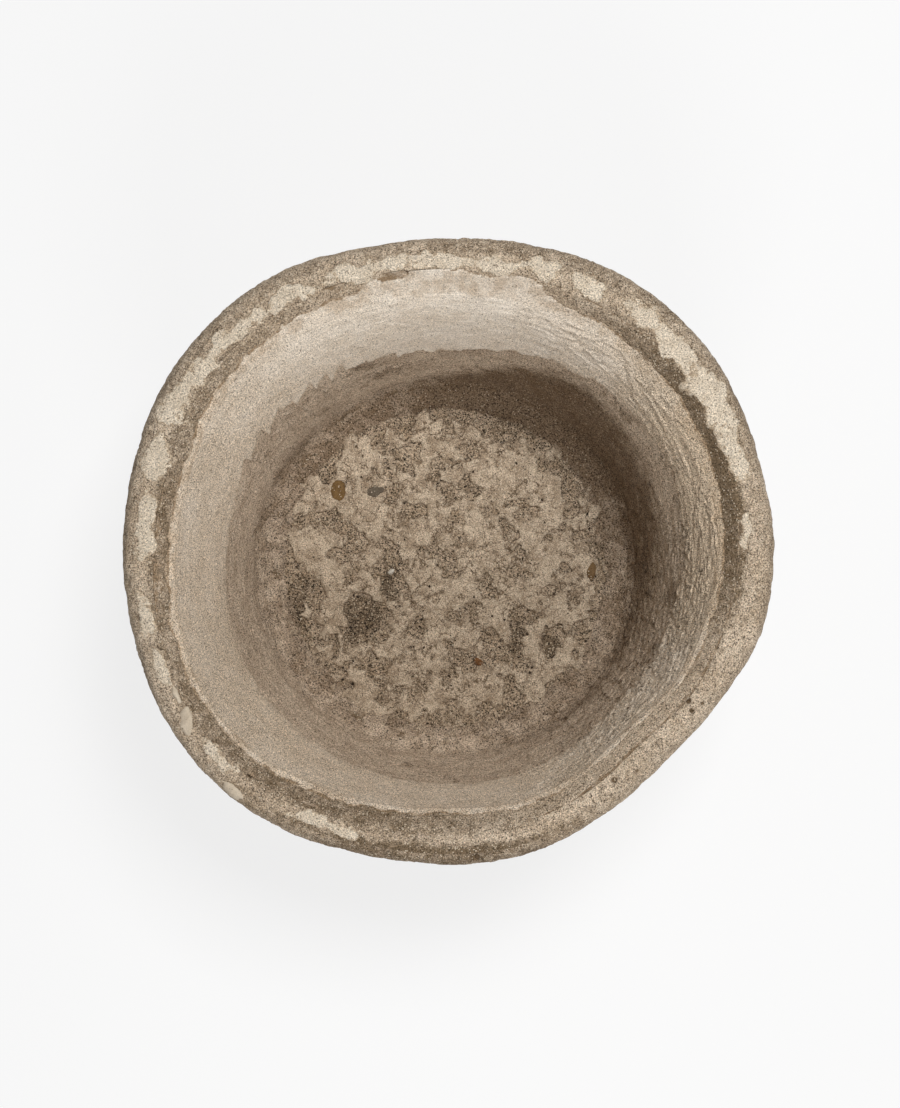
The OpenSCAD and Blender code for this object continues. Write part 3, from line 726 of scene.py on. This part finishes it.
# The floor's bed: a coarse mortar of sand and small gravel, tamped on the stone floor and
# dipping a little under the cove's lip. It shows wherever the skim over it is worn away.
GRID_PITCH, BED_BEYOND, BED_SKIRT = 1.3, 4.5, 9
FLOOR_MIDDLE = np.array([FLOOR_X, FLOOR_Y]) - CENTRE
# Where dark grit has gathered: place from the middle of the trough, length and width
GATHERED = (
    (-88, -69, 46, 43), (-60, -30, 20, 41), (172, -31, 26, 43), (165, 15, 26, 100), (93, 137, 120, 36),
    (-150, -50, 16, 60), (70, -88, 20, 44), (104, -92, 22, 34))


def outside_floor(spots):
    """How far each spot lies outside the edge of the cavity's floor, in millimetres."""
    turn, reach = polar(spots, CENTRE)
    return reach - floor_edge_r(turn)


def delete_corners(piece, chosen):
    bpy.context.view_layer.objects.active = piece
    enter("EDIT")
    bpy.ops.mesh.select_mode(type="VERT")
    bpy.ops.mesh.select_all(action="DESELECT")
    enter("OBJECT")
    piece.data.vertices.foreach_set("select", np.ascontiguousarray(chosen))
    enter("EDIT")
    bpy.ops.mesh.delete(type="VERT")
    enter("OBJECT")


def floor_sheet(name, beyond):
    """A level sheet of small squares over the floor, cut to its outline."""
    size = 2 * (FLOOR_R + 25)
    squares = int(size / GRID_PITCH)
    pick()
    bpy.ops.mesh.primitive_grid_add(
        x_subdivisions=squares, y_subdivisions=squares, size=size * MM,
        location=(*FLOOR_MIDDLE * MM, BED_TOP * MM))
    piece = bpy.context.object
    piece.name = piece.data.name = name
    bpy.ops.object.transform_apply()
    delete_corners(piece, outside_floor(corners(piece) / MM) > beyond)
    bpy.ops.object.shade_smooth()
    return piece


def cove_rise(spots):
    """How high the floor climbs over the cove, in millimetres."""
    return np.clip(1 + (outside_floor(spots) - 4) / COVE_W, 0, 1) ** 2 * COVE_H


def bed_height(spots):
    """Height of the bed's rough top, in millimetres above its mean level."""
    gravel = 0.7 * lumps(spots, 7, 3, 32) + 0.5 * np.abs(lumps(spots, 2.8, 2, 33))
    return cove_rise(spots) + bed_swell(spots) + gravel - 3.5 * fade(-8, -2, outside_floor(spots))


bed = floor_sheet("floor_bed_tamped", BED_BEYOND)
spots = corners(bed) / MM
spots[:, 2] = BED_TOP + bed_height(spots)
move_corners(bed, spots * MM)


def floor_shade_and_dirt(spots):
    """How much brown is painted at the foot of the wall: painted shade where wall meets floor, with some
    dirt.
    """
    return 1.2 * around(FOOT_SHADE_AND_DIRT, polar(spots, CENTRE)[0]) * fade(-32, -6, outside_floor(spots))


def away_from(places, spots, seed):
    """Distance from the middle of each long place in turn, where 1 is its ragged edge."""
    x, y = (spots[:, k] + 12 * lumps(spots, 16, 6, seed + k) for k in (0, 1))
    for at_x, at_y, length, width in places:
        yield np.hypot((x - at_x) / length * 2, (y - at_y) / width * 2)


def gathered(spots):
    """How thickly dark grit has gathered in the bed, from 0 to 1."""
    return fade(1.4, 0.4, np.min(list(away_from(GATHERED, spots, 34)), 0))


paint(bed, "shade_and_dirt", floor_shade_and_dirt(spots))
paint(bed, "gathered", gathered(spots))
enter("EDIT")
bpy.ops.mesh.select_mode(type="EDGE")
bpy.ops.mesh.select_all(action="DESELECT")
bpy.ops.mesh.select_non_manifold()
bpy.ops.mesh.extrude_region_move(TRANSFORM_OT_translate={"value": (0, 0, -BED_SKIRT * MM)})
bpy.ops.transform.resize(value=(1, 1, 0), center_override=(0, 0, (FLOOR_T + BOND) * MM))
bpy.ops.mesh.edge_face_add()
bpy.ops.mesh.select_all(action="SELECT")
bpy.ops.mesh.normals_make_consistent()
enter("OBJECT")

tree, place = open_material(bed, "gritty_mortar")
thick = ragged(tree, "gathered", place, 8, 0.4, 0.2, 1)
# The brown by the foot of the wall is painted shade with some dirt
colour = laid(
    tree, blotched(tree, place, 16, (144, 125, 103), (168, 149, 127), low=0.4, high=0.6),
    (ragged(tree, "shade_and_dirt", place, 18, 0.35, 0.15, 0.95), 0.85, (98, 79, 59)), (thick, 0.6, (88, 72, 54)))
dark = sums(tree, "MULTIPLY_ADD", thick, 0.25, 0.38)
coat = sanded(tree, colour, 1.5, 1.1, dark, 0.16, (34, 28, 22), (206, 188, 162))
finish_material(tree, coat, 0.9, noise_at(tree, place, 2.6, 4, 0.8))
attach(bed, "root")
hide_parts("floor_bed")

# The floor's skim: a pale lime skim trowelled over the bed and worn through in many places,
# with feathered, chipped edges round every hollow.
SKIM_T, SKIM_EDGE, SKIM_BODY = 2.5, 6, 1.2
# Hollows worn through to the bed: place from the middle of the trough, length and width
HOLLOWS = (
    (-88, 128, 36, 22), (-49, 146, 41, 15), (-42, 129, 15, 20), (-118, 108, 26, 10), (-57, 103, 26, 10),
    (-1, 129, 15, 15), (-24, 114, 10, 11), (-3, 89, 33, 13), (-90, 92, 16, 7), (-43, 86, 17, 13),
    (-65, 84, 14, 12), (-132, 84, 18, 18), (-162, 57, 20, 31), (-100, 61, 14, 18), (-57, 61, 15, 17),
    (-37, 43, 26, 17), (-3, 62, 12, 13), (-129, 33, 46, 13), (-100, 11, 20, 41), (-60, -4, 20, 20),
    (-19, 4, 20, 15), (-162, -4, 20, 20), (-121, -3, 20, 12), (27, 162, 51, 15), (21, 101, 18, 13),
    (20, 62, 17, 20), (49, 125, 28, 17), (93, 149, 122, 41), (114, 121, 82, 26), (63, 108, 10, 10),
    (44, 89, 7, 7), (76, 44, 23, 15), (45, 41, 15, 15), (62, 22, 18, 18), (70, 3, 15, 16),
    (119, 62, 14, 20), (129, 44, 20, 15), (120, 29, 12, 15), (135, 19, 18, 15), (104, 86, 20, 17),
    (124, 85, 20, 15), (147, 88, 15, 20), (169, 32, 29, 82), (167, -40, 26, 61), (121, -12, 15, 15),
    (-88, -69, 46, 43), (-60, -30, 20, 41), (-157, -45, 10, 51), (-137, -59, 12, 18), (-141, -83, 20, 26),
    (-158, -101, 12, 20), (-123, -98, 15, 10), (-106, -141, 14, 18), (-132, -143, 22, 18),
    (-118, -161, 15, 18), (-90, -180, 24, 15), (-66, -185, 12, 15), (-64, -139, 12, 26), (-39, -81, 20, 20),
    (9, -116, 36, 31), (-29, -200, 31, 15), (5, -21, 17, 13), (44, -37, 17, 26), (75, -29, 15, 18),
    (106, -47, 21, 15), (103, -64, 18, 12), (114, -16, 15, 10), (129, -46, 14, 18), (173, -31, 28, 43),
    (70, -88, 15, 46), (105, -91, 22, 37), (144, -88, 20, 46), (165, -74, 20, 23), (126, -81, 9, 16),
    (47, -104, 31, 26), (63, -141, 20, 22), (106, -142, 15, 20), (124, -137, 20, 31), (47, -162, 51, 20),
    (86, -174, 15, 12))
# Places where the skim is whole, given the same way
WHOLE = (
    (-140, 8, 44, 46), (112, -62, 34, 30), (140, -105, 30, 30), (30, -150, 40, 30), (-90, 93, 41, 41),
    (-129, 57, 46, 31), (-19, 134, 20, 41), (53, 78, 41, 51), (86, 11, 26, 41), (-118, -70, 21, 41),
    (86, -150, 26, 37), (-90, -152, 31, 41))


def skim_left(spots):
    """How much skim is left: above 0 it covers the bed, below 0 it is worn through."""
    left = 0.3 + 0.0005 * (spots[:, 0] - 0.5 * spots[:, 1]) + 0.8 * lumps(spots, 26, 6, 41)
    for k, away in enumerate(away_from(HOLLOWS + WHOLE, spots, 42)):
        left += (-0.75 if k < len(HOLLOWS) else 0.75) * fade(1.5, 0.5, away)
    left = left - 0.35 * fade(-46, -24, outside_floor(spots)) - 0.6 * gathered(spots)
    left = np.clip(left, -0.8, 0.9) + 0.4 * lumps(spots, 7, 5, 46)
    rim = -outside_floor(spots) - SKIM_EDGE + 24 * lumps(spots, 34, 7, 44)
    return np.minimum(left, rim / 8)


def skim_bed(spots):
    """Height on which the skim's mean surface lies: the bed's, with its gravel evened out."""
    cove = cove_rise(spots)
    return cove + 0.35 * (bed_height(spots) - cove) + 0.45


skim = floor_sheet("floor_skim_worn", -4)
spots = corners(skim) / MM
left = skim_left(spots)
keep = left > -0.25
delete_corners(skim, ~keep)
spots, left = spots[keep], left[keep]
thick = np.clip(left * 8, -0.9, SKIM_T * 0.8) + 0.5 * lumps(spots, 12, 5, 45)
spots[:, 2] = BED_TOP + skim_bed(spots) + thick
move_corners(skim, spots * MM)
paint(skim, "thick", left)
paint(skim, "shade_and_dirt", floor_shade_and_dirt(spots))


def thicken(piece, depth):
    """Gives an open sheet a body behind it, that many millimetres deep."""
    solid = piece.modifiers.new("body", "SOLIDIFY")
    solid.thickness, solid.offset = depth * MM, -1
    bpy.ops.object.modifier_apply(modifier="body")


thicken(skim, SKIM_BODY)

tree, place = open_material(skim, "worn_skim")
thin = ragged(tree, "thick", place, 4, 0.4, 0.14, -0.06)
# The brown by the foot of the wall is painted shade with some dirt
colour = laid(
    tree, blotched(tree, place, 13, (158, 139, 117), (198, 180, 157), 6, 0.75, 0.36),
    (thin, 0.85, (132, 113, 92)),
    (lines_of(tree, hairlines, Size=15, Width=0.9, Share=0.5), 1, (110, 92, 73)),
    (ragged(tree, "shade_and_dirt", place, 18, 0.35, 0.15, 0.95), 0.85, (104, 84, 62)))
dark = sums(tree, "MULTIPLY_ADD", thin, 0.24, 0.06)
coat = sanded(tree, colour, 1.3, 0.75, dark, 0.06, (60, 49, 38))
finish_material(tree, coat, 0.7, noise_at(tree, place, 3, 5, 0.75))
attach(skim, "root")
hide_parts("floor_skim")

# The pebbles: a brown one and a grey one at the upper left, a brown block at the right and
# two small chips, each bedded in the floor when the skim was still soft.
# Direction and share of the way out, length, width, turn, and colour
PEBBLES = (
    (145, 0.85, 21, 15, 80, (126, 98, 62)), (134, 0.66, 17, 10, 10, (112, 101, 87)),
    (358, 0.92, 18, 9, 85, (124, 98, 68)), (186, 0.36, 7, 5, 30, (226, 218, 204)),
    (288, 0.64, 10, 7, 150, (122, 84, 52)))
PEBBLE_PROUD, SKIM_R = 1.5, 160


def paint_tones(piece, tones):
    """Keeps a colour on each corner for the material."""
    layer = piece.data.color_attributes.new("tone", "FLOAT_COLOR", "POINT")
    layer.data.foreach_set("color", np.array(tones, np.float32).ravel())


stones = []
for k, (turn, share, length, width, twist, colour) in enumerate(PEBBLES):
    x, y = FLOOR_MIDDLE + SKIM_R * share * np.array([cosd(turn), sind(turn)])
    tall = SKIM_T + PEBBLE_PROUD
    pick()
    bpy.ops.mesh.primitive_ico_sphere_add(
        subdivisions=5, radius=1, location=(x * MM, y * MM, (BED_TOP + 0.42 * tall) * MM),
        scale=(length / 2 * MM, width / 2 * MM, 0.62 * tall * MM), rotation=(0, 0, math.radians(twist)))
    stone = bpy.context.object
    bpy.ops.object.transform_apply()
    spots = corners(stone) / MM
    middle = spots.mean(0)
    shape = 1 + 0.22 * lumps(spots, 0.7 * width, 3, 50 + k) + 0.04 * lumps(spots, 2, 3, 60 + k)
    move_corners(stone, (middle + (spots - middle) * shape[:, None]) * MM)
    paint_tones(stone, [tint(*colour)] * len(spots))
    bpy.ops.object.shade_smooth()
    stones.append(stone)
pick(*stones)
bpy.ops.object.join()
pebbles = bpy.context.object
pebbles.name = pebbles.data.name = "pebbles_bedded"


def pebble_material(piece, name, depth):
    tree, place = open_material(piece, name)
    tone = add(tree, "Attribute", attribute_name="tone").outputs["Color"]
    blotch = ramp(tree, noise_at(tree, place, 4, 5, 0.7), 0.35, 0.65)
    colour = mix(tree, blotch, mix(tree, 0.35, tone, tint(60, 48, 36)), tone)
    coat = sanded(tree, colour, 1.1, 0.3, 0.08, 0.06)
    finish_material(tree, coat, depth)


pebble_material(pebbles, "worn_pebble", 0.5)
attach(pebbles, "root")
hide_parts("bedded_pebbles")

# The grit: broken grains of dark, tan and cream stone that have come loose from the bed
# and lie in the hollows of the skim.
GRAINS, TRIES, CLEAR_OF_WALL = 1700, 16000, 3
# One try in so many may lie on the skim too
ON_SKIM = 9
GRAIN_TONES = ((52, 43, 35), (78, 66, 54), (104, 88, 70), (138, 120, 97), (186, 168, 142), (214, 200, 178))
GRAIN_SHARES = (0.3, 0.22, 0.16, 0.14, 0.12, 0.06)

chance = random.Random(7)
pick()
bpy.ops.mesh.primitive_ico_sphere_add(subdivisions=1, radius=1)
grain = bpy.context.object
grain_spots = corners(grain)
grain_faces = np.array([list(f.vertices) for f in grain.data.polygons])
bpy.data.objects.remove(grain)

tries = np.array([[chance.uniform(-1, 1), chance.uniform(-1, 1), 0] for _ in range(TRIES)]) * (FLOOR_R + 5)
tries += (*FLOOR_MIDDLE, BED_TOP)
tries = tries[outside_floor(tries) < -CLEAR_OF_WALL]
bare = skim_left(tries) < 0.02
tries = tries[bare | (np.arange(len(tries)) % ON_SKIM == 0)][:GRAINS]
ground = BED_TOP + bed_height(tries)
covered = skim_left(tries)
ground = np.where(covered > 0, BED_TOP + skim_bed(tries) + np.clip(covered * 8, 0, SKIM_T * 0.8), ground)
made_spots, made_faces, made_tones = [], [], []
for (x, y, _), z in zip(tries, ground):
    size = 0.45 + 1.3 * chance.random() ** 3
    stretch = np.array([chance.uniform(0.7, 1.5), chance.uniform(0.6, 1.0), chance.uniform(0.5, 0.9)]) * size
    twist = chance.uniform(0, 2 * math.pi)
    bumps = np.array([[chance.uniform(0.75, 1.15)] for _ in grain_spots])
    shape = grain_spots * bumps * stretch @ np.array(Matrix.Rotation(-twist, 3, "Z"))
    made_faces.append(grain_faces + len(made_spots) * len(grain_spots))
    made_spots.append(shape + (x, y, z + 0.3 * stretch[2]))
    made_tones += [tint(*chance.choices(GRAIN_TONES, GRAIN_SHARES)[0])] * len(grain_spots)
mesh = bpy.data.meshes.new("grit_loose")
mesh.from_pydata((np.concatenate(made_spots) * MM).tolist(), [], np.concatenate(made_faces).tolist())
grit = bpy.data.objects.new("grit_loose", mesh)
bpy.context.collection.objects.link(grit)
paint_tones(grit, made_tones)
pebble_material(grit, "broken_grit", 0.3)
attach(grit, "root")
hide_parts("loose_grit")

# The skim on the rim: what is left of a lime skim brushed over the rim's top, in islands
# with ragged, feathered edges. Each follows the stone under it.
# First and last direction, then inner and outer edge as shares of the rim's top
PATCHES = (
    (1, 7, 0.05, 0.45), (14, 23, 0.1, 0.8), (24.5, 35, 0.15, 0.95), (37.5, 47, 0.2, 0.7),
    (48, 56, 0.2, 0.85), (57.5, 67, 0.25, 0.7), (69, 113, 0.1, 0.8), (119, 126, 0.15, 0.8),
    (128, 143, 0.2, 0.75), (144.5, 155, 0.2, 0.95), (157.5, 167, 0.2, 0.9), (168.5, 181, 0.25, 0.9),
    (190, 196, 0.25, 0.95), (198.5, 204, 0.1, 0.65), (219, 224, 0.2, 0.8), (237, 251, 0.35, 0.85))
BURIED, ISLAND_BODY = -0.55, 0.8


def rim_copy(name, first, last, cuts):
    """A copy of the rim's faces between two rings of the block, cut finer."""
    pick(block)
    bpy.ops.object.duplicate()
    piece = bpy.context.object
    piece.name = piece.data.name = name
    piece.data.materials.clear()
    delete_corners(piece, ~((block_row >= first) & (block_row <= last)))
    enter("EDIT")
    bpy.ops.mesh.select_all(action="SELECT")
    bpy.ops.mesh.subdivide(number_cuts=cuts, smoothness=0)
    enter("OBJECT")
    return piece


def on_rim(spots):
    """Direction of each spot, and its share of the way from the crest to the shoulder."""
    turn, reach = polar(spots, CENTRE)
    turn = np.mod(turn, 360)
    crest = mouth_r(turn) + BEVEL_W
    return turn, (reach - crest) / (edge_r(turn) - SHOULDER_W - crest)


def islands(turn, share, places, power=3):
    """How far inside the nearest island each spot lies: 1 in its middle, below 0 outside."""
    inside = np.full(len(turn), -9.0)
    for first, last, inner, outer in places:
        across = (share - (inner + outer) / 2) / (outer - inner) * 2
        along = (turn - (first + last) / 2) / (last - first) * 2
        reach = (last - first) / 2
        along = np.sign(along) * np.maximum(0, abs(along) * reach - (reach - 3)) / 3 if reach > 3 else along
        inside = np.maximum(inside, 1 - (abs(across) ** power + abs(along) ** power) ** (1 / power))
    return inside


def lift(piece, height):
    """Pushes the copy out along its own surface, then drops what lies buried in the stone."""
    mesh = piece.data
    out = np.empty(len(mesh.vertices) * 3)
    mesh.vertices.foreach_get("normal", out)
    move_corners(piece, corners(piece) + out.reshape(-1, 3) * height[:, None] * MM)
    delete_corners(piece, height < BURIED)
    thicken(piece, ISLAND_BODY)
    bpy.ops.object.shade_smooth()


# The copies run from the middle of the shoulder to the middle of the bevel
rim_first = np.flatnonzero(part_of == "shoulder")[5]
rim_last = np.flatnonzero(part_of == "bevel")[4]
rim_skim = rim_copy("rim_skim_islands", rim_first, rim_last, 1)
spots = corners(rim_skim) / MM
turn, share = on_rim(spots)
inside = islands(turn, share + 0.3 * lumps(spots, 22, 3, 71), PATCHES) + 1.1 * lumps(spots, 17, 7, 72) + 0.3
height = np.clip(inside * 3, -0.6, 0.75) + 0.15 * lumps(spots, 5, 3, 73)
paint(rim_skim, "thick", inside)
lift(rim_skim, height)

tree, place = open_material(rim_skim, "brushed_lime")
thin = ragged(tree, "thick", place, 5, 0.9, 0.42, 0.12)
colour = blotched(tree, place, 14, (204, 188, 166), (216, 202, 182), low=0.35, high=0.65)
colour = laid(tree, colour, (thin, 1, (184, 165, 141)))
dark = sums(tree, "MULTIPLY_ADD", thin, 0.12, 0.05)
coat = sanded(tree, colour, 1.3, 0.7, dark, 0.06, (96, 80, 60))
finish_material(tree, coat, 0.6, noise_at(tree, place, 3, 5, 0.75))
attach(rim_skim, "root")
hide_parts("rim_skim_patches")

# The splashes: three smooth drops of lime wash that fell on the rim at the lower left and
# set where they landed, thick and rounded at their edges.
SPLASHES = ((206.3, 209.6, 0.02, 0.4), (210.6, 215.4, 0.05, 1.0), (225.8, 230.2, 1.0, 1.75))
SPLASH_T = 1.6

splashes = rim_copy("rim_splashes_set", rim_first, rim_last, 2)
spots = corners(splashes) / MM
turn, share = on_rim(spots)
smear = share + 0.16 * (213 - turn) * ((turn > 210) & (turn < 216)) + 0.12 * lumps(spots, 7, 2, 81)
inside = islands(turn, smear, SPLASHES, 2) + 0.12 * lumps(spots, 6, 3, 82)
height = np.where(inside > 0, np.sqrt(np.clip(inside, 0, 1)) * SPLASH_T, inside * 4)
lift(splashes, np.clip(height, -0.6, SPLASH_T))

tree, place = open_material(splashes, "lime_wash")
colour = blotched(tree, place, 9, (196, 180, 158), (206, 191, 170), 4, 0.6, 0.35, 0.65)
coat = sanded(tree, colour, 1.3, 0.14, 0.03, 0.02, (120, 102, 80))
finish_material(tree, coat, 0.25)
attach(splashes, "root")
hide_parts("rim_splashes")

# The studio: a plain white floor, a camera that looks straight down, and two soft square
# lamps, one at the upper right and a weaker, lower one at the front.
# Each lamp: direction, angle from upright, and power in watts
LAMPS = (("soft_light_upper_right", 60, 25, 50), ("soft_light_front", 276, 55, 28))
LAMP_SIDE, LAMP_AWAY, AIM_HEIGHT, AIR_LIGHT = 0.9, 2.6, 0.25, 0.15
PAPER, PAPER_GLOW = 0.86, 0.75
CAMERA_AT, SENSOR, LENS = (0.00135, -0.0027, 1.78), 36, 54.2

pick()
bpy.ops.mesh.primitive_circle_add(vertices=96, radius=6, fill_type="NGON")
studio_floor = bpy.context.object
studio_floor.name = "studio_floor"
paper = bpy.data.materials.new("white_paper")
paper.use_nodes = True
tree = paper.node_tree
tree.nodes.clear()
matt = add(tree, "BsdfDiffuse", {"Color": (PAPER, PAPER, PAPER, 1)})
glow = add(tree, "Emission", {"Strength": 1})
seen = scaled(tree, add(tree, "LightPath").outputs["Is Camera Ray"], PAPER_GLOW)
both = add(tree, "MixShader", {0: seen, 1: matt.outputs[0], 2: glow.outputs[0]})
add(tree, "OutputMaterial", {"Surface": both.outputs[0]})
studio_floor.data.materials.append(paper)

world = bpy.data.worlds.new("studio_air")
bpy.context.scene.world = world
world.use_nodes = True
background = world.node_tree.nodes["Background"]
background.inputs["Color"].default_value = (1, 1, 1, 1)
background.inputs["Strength"].default_value = AIR_LIGHT

for name, turn, lean, power in LAMPS:
    light = bpy.data.lights.new(name, "AREA")
    light.shape, light.size, light.energy = "SQUARE", LAMP_SIDE, power
    lamp = bpy.data.objects.new(name, light)
    bpy.context.collection.objects.link(lamp)
    away = Vector((sind(lean) * cosd(turn), sind(lean) * sind(turn), cosd(lean)))
    lamp.location = away * LAMP_AWAY + Vector((0, 0, AIM_HEIGHT))
    lamp.rotation_euler = away.to_track_quat("Z", "Y").to_euler()

camera = bpy.data.objects.new("camera", bpy.data.cameras.new("camera"))
bpy.context.collection.objects.link(camera)
camera.location = CAMERA_AT
camera.data.sensor_width, camera.data.lens = SENSOR, LENS
bpy.context.scene.camera = camera
bpy.context.scene.view_settings.view_transform = "Standard"
